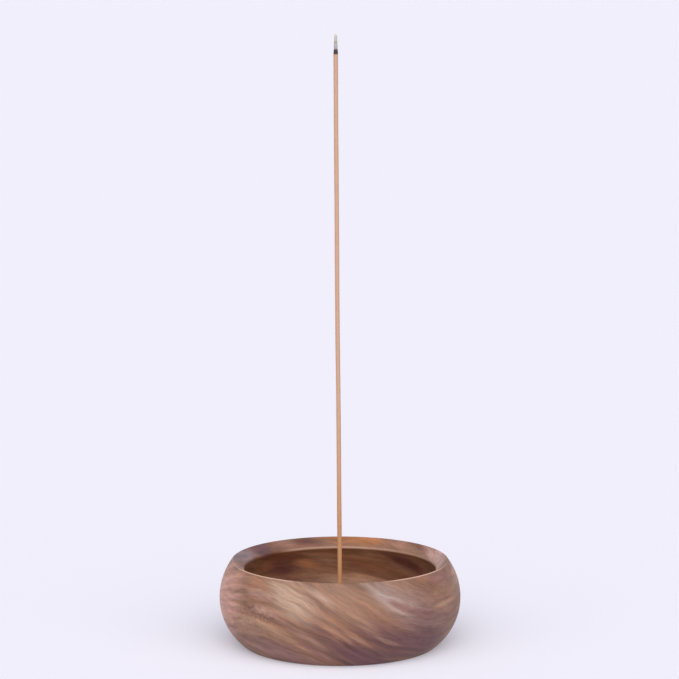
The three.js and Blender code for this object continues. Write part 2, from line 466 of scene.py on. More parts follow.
def stick_skin(name, heights, radius_at, columns=48):
    """A closed skin round the stick's line: flat ends, and radius_at(height, angle) in between."""
    a = np.linspace(0, 2 * np.pi, columns, endpoint=False)
    heights = np.concatenate([heights[:1], heights, heights[-1:]])[:, None]
    radius = radius_at(heights, a)
    radius[[0, -1]] = 0
    drift_x, drift_y = stick_line(heights)
    x = drift_x + radius * np.cos(a)
    y = drift_y + radius * np.sin(a)
    return skin(name, np.stack([x, y, heights + 0 * a], axis=-1))


# %% The raw paste
END_ROUND = 0.12  # mm that the edges at the two ends are rubbed down
END_FADE = 0.08  # mm from an end, by which most of that is gone
END_STEPS = np.array([0, 0.05, 0.1, 0.2])  # mm from an end, close together to show its rounding


def paste_radius(height, angle):
    """The die's round hole, with faint ribs along the stick and a slow swelling up and down it."""
    ribs = 0.006 * np.sin(9 * angle + 0.6) + 0.004 * np.sin(17 * angle + height / 40)
    swell = 0.012 * np.sin(height / 5.3) + 0.008 * np.sin(height / 1.9 + 2)
    ends = np.minimum(height - stick_foot, paste_high[2] - height)
    rounded = END_ROUND * np.exp(-np.maximum(ends, 0) / END_FADE)
    return stick_radius * (1 + ribs + swell) - rounded


paste_heights = np.concatenate([
    stick_foot + END_STEPS,
    np.linspace(stick_foot + 0.4, paste_high[2] - 0.4, 800),
    paste_high[2] - END_STEPS[::-1],
])
paste = stick_skin("paste_stick", paste_heights, paste_radius)
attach(paste, "stick")
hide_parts("incense_stick")


# %% The charred band
def char_radius(height, angle):
    """Narrows by a fifth from the paste to the ash, with cracks that run round and along it."""
    up = (height - char_low[2]) / (char_high[2] - char_low[2])
    narrowing = stick_radius * (1 - 0.2 * up**1.5)
    rough = 0.02 * np.sin(5 * angle + 9 * up) + 0.015 * np.sin(11 * angle - 14 * up)
    cracks = 0.03 * np.abs(np.sin(11 * up + np.sin(2 * angle))) ** 0.5
    return narrowing * (0.97 + rough + cracks)


char_heights = np.linspace(char_low[2], char_high[2], 60)
char = stick_skin("charred_band", char_heights, char_radius, columns=64)
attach(char, "stick")
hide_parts("char_band")


# %% The standing ash
ASH_RADIUS = 0.65  # mm, next to the char
ASH_LOSSES = ((0.3, 0.2, 0.1), (0.6, 0.3, 0.12))  # from this share of the height, over this share, mm lost
ASH_TIP = 0.12  # the share of the height in which the tip closes


def ash_radius(height, angle):
    """Thinner in two steps towards a round tip, with the rings of a slow burn and a rough surface."""
    up = np.clip((height - ash_low[2]) / (ash_high[2] - ash_low[2]), 0, 1)
    thinning = ASH_RADIUS
    for start, share, loss in ASH_LOSSES:
        thinning = thinning - loss * np.clip((up - start) / share, 0, 1)
    rings = 0.035 * np.abs(np.sin(9.5 * up + 0.4 * np.sin(angle + 1)))
    rough = 0.02 * np.sin(4 * angle + 13 * up) + 0.02 * np.sin(7 * angle - 21 * up)
    tip = np.sqrt(np.clip((1 - up) / ASH_TIP, 0.02, 1))
    return thinning * (0.96 + rings + rough) * tip


ash_heights = np.linspace(ash_low[2], ash_high[2], 120)
ash = stick_skin("standing_ash", ash_heights, ash_radius, columns=64)
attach(ash, "stick")
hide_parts("ash_column")

# %% [markdown]
# ## Finishes
# Every finish is worked out from the place of a point on its piece, so the figure runs through the
# solid, as it does in a block of wood, and needs no unwrapping. The class below only gives short names
# to the shader nodes that the finishes use: each call adds one node and gives back its output.

# %% Short names for shader nodes
class Bench:
    """A node tree being filled. A value given to a socket is set, and an output is linked."""

    def __init__(self, tree):
        self.tree = tree

    def add(self, kind, values=(), output=0, **settings):
        node = self.tree.nodes.new(kind)
        for name, value in settings.items():
            setattr(node, name, value)
        for key, value in dict(values).items():
            if isinstance(value, bpy.types.NodeSocket):
                self.link(value, node.inputs[key])
            else:
                node.inputs[key].default_value = value
        return node.outputs[output]

    def link(self, output, socket):
        self.tree.links.new(output, socket)

    def parts(self, vector):
        """The x, y and z of a vector."""
        return self.add("ShaderNodeSeparateXYZ", {0: vector}).node.outputs

    def maths(self, operation, first, second=0.0, third=0.0, clamp=False):
        values = {0: first, 1: second, 2: third}
        return self.add("ShaderNodeMath", values, operation=operation, use_clamp=clamp)

    def vector(self, operation, first, second=(0, 0, 0), output=0):
        return self.add("ShaderNodeVectorMath", {0: first, 1: second}, output, operation=operation)

    def scaled(self, vector, factors):
        return self.vector("MULTIPLY", vector, factors)

    def noise(self, vector, scale=1.0, detail=2.0, roughness=0.5, output=0):
        values = {"Vector": vector, "Scale": scale, "Detail": detail, "Roughness": roughness}
        return self.add("ShaderNodeTexNoise", values, output)

    def between(self, value, low, high):
        """0 below low and 1 above high, with a smooth rise in between."""
        values = {"Value": value, "From Min": low, "From Max": high}
        return self.add("ShaderNodeMapRange", values, interpolation_type="SMOOTHSTEP")

    def mix(self, factor, first, second):
        """The first colour where the factor is 0, and the second where it is 1."""
        return self.add("ShaderNodeMix", {0: factor, 6: first, 7: second}, 2, data_type="RGBA")

    def varied(self, mask, colour, first, second):
        """Red, green and blue are multiplied by first where the mask is 0, and by second where it is 1."""
        return self.mix(mask, self.scaled(colour, first), self.scaled(colour, second))

    def ramp(self, factor, stops):
        """A colour ramp through (position, colour) stops."""
        output = self.add("ShaderNodeValToRGB", {0: factor})
        elements = output.node.color_ramp.elements
        while len(elements) < len(stops):
            elements.new(0.5)
        for element, (position, colour) in zip(elements, stops):
            element.position = position
            element.color = (*colour, 1)
        return output


def millimetres(bench):
    """Where a point is on its piece, in mm."""
    place = bench.add("ShaderNodeTexCoord", output="Object")
    return bench.scaled(place, (1 / MM,) * 3)


# %% [markdown]
# Some effects come back on several finishes: a soft mottle of lighter and darker patches, the fine
# rings that a turning tool leaves, the ash that dusts what lies under the stick, and the fibres in
# incense and its ash. Each is a node group, built once and given its own values in each finish.

# %% A helper that starts a node group
def socket_kind(value):
    """Which kind of socket holds a value: a number, a vector of three or a colour of four."""
    if isinstance(value, (int, float)):
        return "NodeSocketFloat"
    return "NodeSocketVector" if len(value) == 3 else "NodeSocketColor"


def new_group(name, inputs, **outputs):
    """A group with named inputs, each with a default, and named outputs, each with an example."""
    tree = bpy.data.node_groups.new(name, "ShaderNodeTree")
    for label, value in inputs.items():
        socket = tree.interface.new_socket(label, in_out="INPUT", socket_type=socket_kind(value))
        socket.default_value = value
    for label, value in outputs.items():
        tree.interface.new_socket(label, in_out="OUTPUT", socket_type=socket_kind(value))
    given = tree.nodes.new("NodeGroupInput").outputs
    results = tree.nodes.new("NodeGroupOutput").inputs
    return Bench(tree), given, results


def use(bench, group, **values):
    """Places a group in a finish, with its values, and gives back its first output."""
    return bench.add("ShaderNodeGroup", values, node_tree=group)


print("kinds of socket:", socket_kind(1.0), socket_kind((0, 0, 0)), socket_kind((0, 0, 0, 1)))

# %% Mottle
defaults = {"Vector": (0, 0, 0), "Size": 10.0, "Contrast": 1.0}
bench, given, results = new_group("mottle", defaults, Mask=0.0)
patches = bench.noise(bench.vector("DIVIDE", given["Vector"], given["Size"]), detail=4, roughness=0.55)
swing = bench.maths("MULTIPLY", bench.maths("SUBTRACT", patches, 0.5), given["Contrast"])
bench.link(bench.maths("ADD", swing, 0.5, clamp=True), results["Mask"])
mottle = bench.tree
print("mottle: soft patches of the given size, around one half")

# %% Distance from the axis
bench, given, results = new_group("from_axis", {"Vector": (0, 0, 0)}, Radius=0.0, Height=0.0)
x, y, z = bench.parts(given["Vector"])
squared = bench.maths("MULTIPLY_ADD", x, x, bench.maths("MULTIPLY", y, y))
bench.link(bench.maths("SQRT", squared), results["Radius"])
bench.link(z, results["Height"])
from_axis = bench.tree
print("from axis: a point's radius and height, as on a lathe")

# %% Turning rings
defaults = {"Vector": (0, 0, 0), "Spacing": 0.3}
bench, given, results = new_group("turning_rings", defaults, Height=0.0)
radius, height = use(bench, from_axis, Vector=given["Vector"]).node.outputs
along = bench.maths("DIVIDE", bench.maths("SUBTRACT", radius, height), given["Spacing"])
rings = bench.add("ShaderNodeTexNoise", {"W": along, "Scale": 1.0, "Detail": 3.0}, noise_dimensions="1D")
bench.link(rings, results["Height"])
turning_rings = bench.tree
print("turning rings: ridges a tool's feed apart, round the axis")

# %% Turned edges
defaults = {"Vector": (0, 0, 0), "Radius": 10.0, "Height": 0.0, "Width": 0.5}
bench, given, results = new_group("turned_edge", defaults, Mask=0.0)
radius, height = use(bench, from_axis, Vector=given["Vector"]).node.outputs
out = bench.maths("SUBTRACT", radius, given["Radius"])
up = bench.maths("SUBTRACT", height, given["Height"])
away = bench.maths("SQRT", bench.maths("MULTIPLY_ADD", out, out, bench.maths("MULTIPLY", up, up)))
bench.link(bench.maths("SUBTRACT", 1.0, bench.between(away, 0.0, given["Width"])), results["Mask"])
turned_edge = bench.tree
print("turned edge: how near a point is to a circle round the axis")

# %% Ash dust
defaults = {"Vector": (0, 0, 0), "Amount": 0.5, "Reach": 20.0}
bench, given, results = new_group("ash_dust", defaults, Mask=0.0)
radius, height = use(bench, from_axis, Vector=given["Vector"]).node.outputs
nearness = bench.maths("SUBTRACT", 1.0, bench.between(radius, 0.0, given["Reach"]))
facing = bench.add("ShaderNodeNewGeometry", output="Normal")
up = bench.between(bench.parts(facing)[2], 0.6, 0.95)
crumbs = bench.between(bench.noise(given["Vector"], scale=1.3, detail=5, roughness=0.7), 0.5, 0.62)
thin = bench.maths("MULTIPLY_ADD", crumbs, 0.75, 0.25)
dusty = bench.maths("MULTIPLY", bench.maths("MULTIPLY", nearness, up), thin)
bench.link(bench.maths("MULTIPLY", dusty, given["Amount"], clamp=True), results["Mask"])
ash_dust = bench.tree
print("ash dust: on faces that look up, near the stick")

# %% Fibres
defaults = {"Vector": (0, 0, 0), "Width": 0.1, "Length": 1.0}
bench, given, results = new_group("fibres", defaults, Mask=0.0)
across = bench.maths("DIVIDE", 1.0, given["Width"])
lengthwise = bench.maths("DIVIDE", 1.0, given["Length"])
stretch = bench.add("ShaderNodeCombineXYZ", {0: across, 1: across, 2: lengthwise})
specks = bench.noise(bench.scaled(given["Vector"], stretch), detail=3, roughness=0.6)
bench.link(specks, results["Mask"])
fibres = bench.tree
print("fibres: specks drawn out along the stick")


# %% A helper that starts a finish
def new_finish(name, piece, **constants):
    """A material with one Principled shader, put on a piece. Constants are the same all over it."""
    material = bpy.data.materials.new(name)
    material.use_nodes = True
    tree = material.node_tree
    shader = tree.nodes["Principled BSDF"]
    for label, value in constants.items():
        shader.inputs[label.replace("_", " ")].default_value = value
    piece.data.materials.clear()
    piece.data.materials.append(material)
    return Bench(tree), shader


def connect(bench, shader, **outputs):
    """Links outputs to the shader's sockets by name."""
    for label, output in outputs.items():
        bench.link(output, shader.inputs[label.replace("_", " ")])


def bump(bench, height, depth):
    """A normal from a height between 0 and 1 that stands for depth, in mm."""
    return bench.add("ShaderNodeBump", {"Height": height, "Distance": depth * MM, "Strength": 1.0})


# %% [markdown]
# ## Walnut
# Growth layers in a crooked block run as wavy sheets. Cut by the round wall of the bowl, they show as
# bands that start level at one side, fall across the front and level out again at the other side, and
# the block twists, so they fall less towards the back. The layer number is the height plus a slow sine
# of the sideways place. Everything else is laid out along the layers, so it follows them by itself. Two
# random shifts, one wide and slow and one small and quick, keep the layers from running like ruled lines.

# %% The layers of the block
bench, shader = new_finish("oiled_walnut", bowl, IOR=1.46)
place = millimetres(bench)
FALL_MIDDLE = 12  # mm that the layers drop to either side of their steepest place
FALL_TWIST = -0.22  # mm more for each mm towards the back
STEEPEST = 6  # mm to the right of the axis
QUARTER_WAVE = 52  # mm from the steepest place to where the layers run level


def layer_at(x, y, z):
    """The layer number at a point: z + (middle + twist y) sin(quarter turn at a quarter wave)."""
    return z + (FALL_MIDDLE + FALL_TWIST * y) * np.sin((x - STEEPEST) * np.pi / 2 / QUARTER_WAVE)


def along_layers(bench, place):
    """The same formula in nodes, which swaps a point's height for its layer number."""
    x, y, z = bench.parts(place)
    turn = bench.maths("MULTIPLY", bench.maths("SUBTRACT", x, STEEPEST), np.pi / 2 / QUARTER_WAVE)
    swing = bench.maths("SINE", turn)
    fall = bench.maths("MULTIPLY_ADD", y, FALL_TWIST, FALL_MIDDLE)
    layer = bench.maths("MULTIPLY_ADD", swing, fall, z)
    return bench.add("ShaderNodeCombineXYZ", {0: x, 1: y, 2: layer})


def wander(bench, place, per_mm, reach):
    """A random shift of a point: noise with that many swells per mm, times the reach in mm."""
    shift = bench.noise(bench.scaled(place, per_mm), detail=2, output=1)
    return bench.scaled(bench.vector("SUBTRACT", shift, (0.5, 0.5, 0.5)), reach)


grain = along_layers(bench, place)
drift = wander(bench, place, (0.03, 0.03, 0.05), (9, 9, 7))
waver = wander(bench, place, (0.13, 0.13, 0.18), (3, 3, 1.6))
wavy_grain = along_layers(bench, bench.vector("ADD", place, bench.vector("ADD", drift, waver)))
print("the front's middle is layer", round(layer_at(0, -belly_radius, belly_height), 1))

# %% [markdown]
# Walnut from near the heart changes colour in clouds: pale tan, orange, pink, and a dark purple brown.
# One cloud is a soft ball of colour in the block, stretched along the layers, with a ragged edge. It
# could be painted on the surface, but clouds in the block also come through right on the rim, on the
# inside and underneath. On the rim, the pale cloud on the right is painted light, and the dark one on
# the left is painted shade over grey-purple wood, as if the light fell more from the left.

# %% One cloud
defaults = {
    "Vector": (0, 0, 0), "Centre": (0, 0, 0), "Reach": (10, 10, 5), "Ragged": 0.0,
    "Under": (0, 0, 0, 1), "Over": (1, 1, 1, 1),
}
inner, given, results = new_group("cloud", defaults, Colour=(0, 0, 0, 1))
offset = inner.vector("SUBTRACT", given["Vector"], given["Centre"])
distance = inner.vector("LENGTH", inner.vector("DIVIDE", offset, given["Reach"]), output=1)
distance = inner.maths("ADD", distance, given["Ragged"])
inside = inner.maths("SUBTRACT", 1.0, inner.between(distance, 0.25, 1.2))
inner.link(inner.mix(inside, given["Under"], given["Over"]), results["Colour"])
cloud = inner.tree
print("cloud: a soft stretched ball of colour")

# %% The clouds of this block
FRONT, BACK = -1, 1


def outside(x, z, side):
    """The point of the outer wall at a sideways place and a height, in front or at the back."""
    arc_radius, centre = (lower_arc, lower_centre) if z < belly_height else (upper_arc, upper_centre)
    radius = centre[0] + np.sqrt(arc_radius**2 - (z - belly_height) ** 2)
    return x, side * np.sqrt(max(radius**2 - x**2, 0)), z


PALE, TAN, ORANGE = (0.30, 0.185, 0.128), (0.28, 0.15, 0.09), (0.26, 0.115, 0.062)
PINK, MAUVE, GREY = (0.44, 0.225, 0.17), (0.185, 0.084, 0.067), (0.24, 0.155, 0.128)
BROWN, RED_BROWN, PURPLE = (0.18, 0.082, 0.046), (0.10, 0.021, 0.008), (0.095, 0.034, 0.036)

CLOUDS = (  # centre, reach along, through and across the layers, colour; a later cloud covers earlier ones
    (outside(2, 24, FRONT), (12, 14, 8), BROWN),
    (outside(-18, 25, FRONT), (12, 14, 9), PALE),
    (outside(-29, 27, FRONT), (8, 8, 3.5), ORANGE),
    (outside(-28, 24.5, FRONT), (9, 8, 2.5), (0.29, 0.16, 0.118)),
    (outside(-26, 19.5, FRONT), (9, 9, 2.6), (0.31, 0.17, 0.125)),
    (outside(-42, 19, FRONT), (12, 22, 17), PINK),
    (outside(-20, 4, FRONT), (20, 16, 6), MAUVE),
    (outside(-28, 13.5, FRONT), (16, 16, 3.5), TAN),
    (outside(-15, 9, FRONT), (9, 9, 1.2), TAN),
    (outside(29, 17, FRONT), (18, 18, 9), (0.168, 0.086, 0.071)),
    (outside(18, 24.5, FRONT), (14, 14, 4.6), GREY),
    (outside(22, 21.5, FRONT), (7, 12, 1.7), MAUVE),
    (outside(28, 18.5, FRONT), (7, 10, 1.8), (0.14, 0.063, 0.052)),
    (outside(36, 19.5, FRONT), (6, 12, 1.2), TAN),
    (outside(35, 28, FRONT), (8, 8, 2.5), MAUVE),
    (outside(4, 30, FRONT), (10, 10, 2.2), (0.15, 0.060, 0.031)),
    (outside(8, 3, FRONT), (20, 20, 8), PURPLE),
    (outside(20, 8, FRONT), (18, 20, 8), PURPLE),
    (outside(30, 7, FRONT), (12, 18, 8), PURPLE),
    (outside(7, 17.5, FRONT), (9, 15, 2.2), (0.215, 0.105, 0.062)),
    (outside(-2, 14, FRONT), (7, 9, 1.6), (0.25, 0.122, 0.075)),
    (outside(6, 11.5, FRONT), (6, 9, 0.9), (0.25, 0.122, 0.075)),
    (outside(-8, 6, FRONT), (9, 9, 1.6), MAUVE),
    (outside(-8, 26.5, FRONT), (6, 8, 2.2), (0.255, 0.15, 0.103)),
    (outside(10, 15.5, FRONT), (5, 9, 0.9), MAUVE),
    (outside(16, 10, FRONT), (6, 9, 1.3), (0.20, 0.100, 0.068)),
    (outside(-12, 12, FRONT), (8, 9, 1.6), (0.25, 0.13, 0.088)),
    (outside(-16, 22, BACK), (18, 14, 5), PALE),
    (outside(20, 8, BACK), (22, 16, 6), PURPLE),
    (outside(28, 22, BACK), (12, 14, 4), PINK),
    (outside(-26, 9, BACK), (14, 14, 4), ORANGE),
    (outside(0, 14, BACK), (16, 12, 2.5), TAN),
    ((0, 24, 20), (44, 18, 9), RED_BROWN),
    ((-20, 30, 19.5), (10, 10, 4.5), (0.085, 0.022, 0.020)),
    ((-14, 32, 22.5), (9, 9, 2.6), (0.075, 0.020, 0.013)),
    ((-11, 32, 15), (12, 9, 2.2), (0.12, 0.040, 0.020)),
    ((24, 27, 22.3), (17, 10, 4), (0.080, 0.021, 0.017)),
    ((-12, 33, 21.3), (6, 8, 2.2), (0.24, 0.098, 0.046)),
    ((9, 33, 14.5), (13, 9, 3), (0.30, 0.155, 0.095)),
    ((-28, 24, 14), (10, 12, 3), ORANGE),
    ((25, 31, 29.5), (8, 5, 2), (0.27, 0.125, 0.080)),
    ((9, 38, 29), (20, 7, 3), (0.26, 0.092, 0.030)),
    ((-14, 37, 29), (9, 7, 3), (0.090, 0.026, 0.015)),
    ((-22, 32, 29), (6, 7, 3), (0.20, 0.095, 0.065)),
    ((-30, 24, 29), (6, 8, 4), PURPLE),
    # painted shade on the left of the rim, over its own grey-purple wood: it gets less of the light
    ((-37, 11, 29), (8, 16, 4), (0.175, 0.112, 0.115)),
    # painted light on the right of the rim: made paler as if more light fell on it from the left
    ((36, 10, 29), (10, 22, 4), (0.42, 0.245, 0.20)),
)
RAGGED_EDGE = 0.9  # how widely a cloud's edge strays, as a share of its reach
ragged = bench.noise(bench.scaled(wavy_grain, (0.05, 0.05, 0.35)), detail=2)
ragged = bench.maths("MULTIPLY", bench.maths("SUBTRACT", ragged, 0.5), RAGGED_EDGE)
wood = (*BROWN, 1)
for centre, reach, colour in CLOUDS:
    middle = (centre[0], centre[1], layer_at(*centre))
    wood = use(
        bench, cloud, Vector=grain, Centre=middle, Reach=reach, Ragged=ragged, Under=wood, Over=(*colour, 1)
    )
print(len(CLOUDS), "clouds")

# %% [markdown]
# Over the clouds lie broad bands, the streaks of single growth layers, and the fibres. All are noise
# that is stretched along the layers, and they darken or lighten whatever colour the cloud has. A dark
# streak is a little redder and a light one a little greyer, which one change of brightness for red,
# green and blue alike wouldn't give. A last slow noise makes some streaks cooler and others warmer.

# %% Bands, streaks and fibres
FIGURE = {  # swells per mm along, through and across the layers, the noise's detail and roughness, weight
    "bands": ((0.02, 0.03, 0.16), 2, 0.5, 0.6),
    "streaks": ((0.055, 0.09, 0.65), 4, 0.55, 1.6),
    "fine": ((0.2, 0.5, 2.4), 2, 0.5, 0.75),
    "hairs": ((0.3, 2.5, 9.0), 2, 0.6, 0.4),
}
DARK_STREAK, LIGHT_STREAK = (0.54, 0.45, 0.43), (1.46, 1.58, 1.64)
grown = {}
figure = 0.5
for name, (per_mm, detail, roughness, weight) in FIGURE.items():
    grown[name] = bench.noise(bench.scaled(wavy_grain, per_mm), detail=detail, roughness=roughness)
    figure = bench.maths("MULTIPLY_ADD", bench.maths("SUBTRACT", grown[name], 0.5), weight, figure)
wood = bench.varied(figure, wood, DARK_STREAK, LIGHT_STREAK)
print("figure:", ", ".join(FIGURE))

# %% Cooler and warmer streaks
COOLER, WARMER = (0.975, 1.005, 1.04), (1.03, 0.99, 0.955)
ELSEWHERE = (7, 3, 5)  # so that these streaks don't fall on the dark and light ones
tint = bench.vector("ADD", bench.scaled(wavy_grain, (0.05, 0.07, 0.4)), ELSEWHERE)
tint = bench.between(bench.noise(tint, detail=3), 0.36, 0.64)
wood = bench.varied(tint, wood, COOLER, WARMER)
print("tint: streaks between", COOLER, "and", WARMER)

# %% [markdown]
# Where the fibres wave, light catches them in short ripples across the grain. This block has one such
# patch, on the left of the front. Its pores are the open ends and sides of the wood's vessels: short
# dark grooves along the grain, which crowd in the pale early wood of each layer.

# %% Ripples
RIPPLE_CENTRE = (-29, -32, 18.5)  # mm, on the left of the front
RIPPLE_REACH = (10, 12, 4)  # mm along, through and across the layers
RIPPLE_STRENGTH = 2.4
ripple_middle = (*RIPPLE_CENTRE[:2], layer_at(*RIPPLE_CENTRE))
near_ripple = bench.vector("DIVIDE", bench.vector("SUBTRACT", grain, ripple_middle), RIPPLE_REACH)
near_ripple = bench.vector("LENGTH", near_ripple, output=1)
ripple_mask = bench.maths("SUBTRACT", 1.0, bench.between(near_ripple, 0.4, 1.3))
ripples = bench.noise(bench.scaled(wavy_grain, (0.75, 0.5, 0.9)), detail=2, roughness=0.6)
ripples = bench.maths("MULTIPLY", bench.maths("SUBTRACT", ripples, 0.5), ripple_mask)
rippled = bench.maths("MULTIPLY_ADD", ripples, RIPPLE_STRENGTH, 0.5)
wood = bench.varied(rippled, wood, (0.70, 0.66, 0.68), (1.30, 1.34, 1.32))
print("ripples round", RIPPLE_CENTRE)

# %% Pores
PORES_PER_MM = (0.28, 3.4, 3.4)  # along, through and across the layers
PORE_COLOUR = (0.10, 0.055, 0.042, 1)
PORE_STRENGTH = 0.45
cells = {"Vector": bench.scaled(wavy_grain, PORES_PER_MM), "Scale": 1.0}
from_cell_middle = bench.add("ShaderNodeTexVoronoi", cells)
pores = bench.maths("SUBTRACT", 1.0, bench.between(from_cell_middle, 0.06, 0.26))
pores = bench.maths("MULTIPLY", pores, bench.between(grown["streaks"], 0.4, 0.6))
wood = bench.mix(bench.maths("MULTIPLY", pores, PORE_STRENGTH), wood, PORE_COLOUR)
print(f"pores every {1 / PORES_PER_MM[0]:.1f} mm along the grain")

# %% [markdown]
# The crest and the lip are painted paler where their rounded edges catch the light: a painted highlight
# on the crest on both sides of the front, and one on the lip everywhere but on the left. The whole bowl
# is oiled and not lacquered, so it is dull with a soft gloss, and the fine grooves of the tool, the fibres
# and the pores can just be felt.

# %% Painted highlights on the crest and the lip
HIGHLIGHT_SIDE = 27  # mm to either side of the middle, where the crest's painted highlight is brightest
HIGHLIGHT_SIDE_FADE = (6, 13)  # mm from there to where the painted highlight starts to fade, and to where it is gone
LIP_HIGHLIGHT_FADE = (-24, -16)  # mm, the sideways places between which the lip's painted highlight begins
CREST_SHIFT = (0.05, -0.15)  # mm from the crest's sharp corner to the middle of its rounded edge
LIP_SHIFT = -0.1  # mm from the lip's middle to the height where its painted highlight is brightest
# paler colours painted on as the highlights of the crest and of the lip
CREST_HIGHLIGHT_COLOUR, LIP_HIGHLIGHT_COLOUR = (0.60, 0.38, 0.30, 1), (0.45, 0.29, 0.23, 1)
x, y = bench.parts(place)[:2]
crest_radius, crest_height = crest + CREST_SHIFT
crest_highlight = use(bench, turned_edge, Vector=place, Radius=crest_radius, Height=crest_height, Width=0.5)
from_highlight_side = bench.maths("ABSOLUTE", bench.maths("SUBTRACT", bench.maths("ABSOLUTE", x), HIGHLIGHT_SIDE))
crest_front_lit = bench.maths("SUBTRACT", 1.0, bench.between(from_highlight_side, *HIGHLIGHT_SIDE_FADE))
crest_front_lit = bench.maths("MULTIPLY", crest_front_lit, bench.maths("LESS_THAN", y, 0.0))
crest_highlight = bench.maths("MULTIPLY", crest_highlight, crest_front_lit)
lip_height = lip_centre[1] + LIP_SHIFT
# painted highlight along the lip's round edge, where it catches the light
lip_highlight = use(bench, turned_edge, Vector=place, Radius=mouth_radius, Height=lip_height, Width=0.7)
lip_highlight = bench.maths("MULTIPLY", lip_highlight, bench.between(x, *LIP_HIGHLIGHT_FADE))
# painted highlights: the crest's, in front only, and then the lip's, mixed towards paler colours
wood = bench.mix(bench.maths("MULTIPLY", crest_highlight, 0.75), wood, CREST_HIGHLIGHT_COLOUR)
wood = bench.mix(bench.maths("MULTIPLY", lip_highlight, 0.6), wood, LIP_HIGHLIGHT_COLOUR)
print("worn at the crest, at", HIGHLIGHT_SIDE, "mm to each side, and along the lip")

# %% The oiled skin
GLOSSIEST, DULLEST = 0.44, 0.58  # roughness where the wood took the most oil, and the least
SKIN_DEPTH = 0.04  # mm
oiling = use(bench, mottle, Vector=place, Size=9.0, Contrast=1.2)
roughness = bench.maths("MULTIPLY_ADD", oiling, DULLEST - GLOSSIEST, GLOSSIEST)
rings = use(bench, turning_rings, Vector=place, Spacing=0.35)
relief = bench.maths("MULTIPLY_ADD", grown["fine"], 0.5, bench.maths("MULTIPLY", rings, 0.2))
relief = bench.maths("SUBTRACT", relief, bench.maths("MULTIPLY", pores, 0.6))
relief = bench.maths("MULTIPLY_ADD", ripples, 0.5, relief)
connect(bench, shader, Base_Color=wood, Roughness=roughness, Normal=bump(bench, relief, SKIN_DEPTH))
print("oiled, with relief", SKIN_DEPTH, "mm deep")

# %% [markdown]
# ## Brass
# Spun and turned brass keeps the fine rings of the tool. Left unpolished it dulls in soft brown
# patches, and ash settles on it under the stick.

# %% Brass for the dish, the socket and the nut
CLEAN_BRASS, DULL_BRASS = (0.62, 0.42, 0.16, 1), (0.42, 0.26, 0.10, 1)
DUST = (0.42, 0.40, 0.37, 1)
DUST_REACH = 26.0  # mm from the axis
RING_DEPTH = 0.02  # mm
BRASSES = ((dish, 0.5, 0.75), (socket, 0.16, 0.35), (nut, 0.3, 0.0))  # mm between rings, share of dust
for piece, ring_spacing, dust in BRASSES:
    bench, shader = new_finish("brass_" + piece.name, piece)
    place = millimetres(bench)
    dull = use(bench, mottle, Vector=place, Size=6.0, Contrast=2.0)
    rings = use(bench, turning_rings, Vector=place, Spacing=ring_spacing)
    metal = bench.mix(dull, CLEAN_BRASS, DULL_BRASS)
    dusty = use(bench, ash_dust, Vector=place, Amount=dust, Reach=DUST_REACH)
    colour = bench.mix(dusty, metal, DUST)
    roughness = bench.maths("MULTIPLY_ADD", dull, 0.22, 0.2)
    roughness = bench.maths("MULTIPLY_ADD", dusty, 0.5, roughness, clamp=True)
    metallic = bench.maths("SUBTRACT", 1.0, dusty)
    connect(
        bench, shader, Base_Color=colour, Metallic=metallic, Roughness=roughness,
        Normal=bump(bench, rings, RING_DEPTH),
    )
    print("brass on", piece.name)

# %% [markdown]
# ## Paste, char and ash
# Incense paste is wood powder and resin: dull, tan, more orange towards the foot, with darker and
# redder specks drawn out along the stick. It is singed just under the char, which is black. The ash
# keeps the same fibres in grey, in rings that are lighter where it burnt hotter.

# %% The raw paste
TAN_PASTE, YELLOW_PASTE = (0.47, 0.275, 0.20, 1), (0.44, 0.275, 0.175, 1)
FOOT_PASTE, SPECK = (0.45, 0.22, 0.10, 1), (0.34, 0.17, 0.10, 1)
SINGED_PASTE, BURNT_PASTE = (0.42, 0.24, 0.18, 1), (0.028, 0.017, 0.017, 1)
FOOT_FADE = (30.0, 90.0)  # mm up, between which the foot's colour gives way to tan
SINGED = np.array([1.5, 0.4])  # mm below the char, where the singed stretch begins and is full
BURNT = np.array([0.5, 0.1])  # mm below the char, where the paste turns black
bench, shader = new_finish("incense_paste", paste)
place = millimetres(bench)
specks = use(bench, fibres, Vector=place, Width=0.22, Length=0.9)
slow = use(bench, mottle, Vector=place, Size=22.0, Contrast=1.6)
height = bench.parts(place)[2]
tan = bench.mix(slow, TAN_PASTE, YELLOW_PASTE)
tan = bench.mix(bench.between(height, *FOOT_FADE), FOOT_PASTE, tan)
tan = bench.mix(bench.between(specks, 0.5, 0.8), tan, SPECK)
singed = bench.between(height, *(char_low[2] - SINGED))
tan = bench.mix(bench.maths("MULTIPLY", singed, 0.45), tan, SINGED_PASTE)
ragged_height = bench.maths("MULTIPLY_ADD", specks, 0.4, height)
tan = bench.mix(bench.between(ragged_height, *(char_low[2] - BURNT)), tan, BURNT_PASTE)
roughness = bench.maths("MULTIPLY_ADD", specks, 0.15, 0.78)
connect(bench, shader, Base_Color=tan, Roughness=roughness, Normal=bump(bench, specks, 0.05))
print(f"paste, singed from {char_low[2] - SINGED[0]:.1f} mm up")

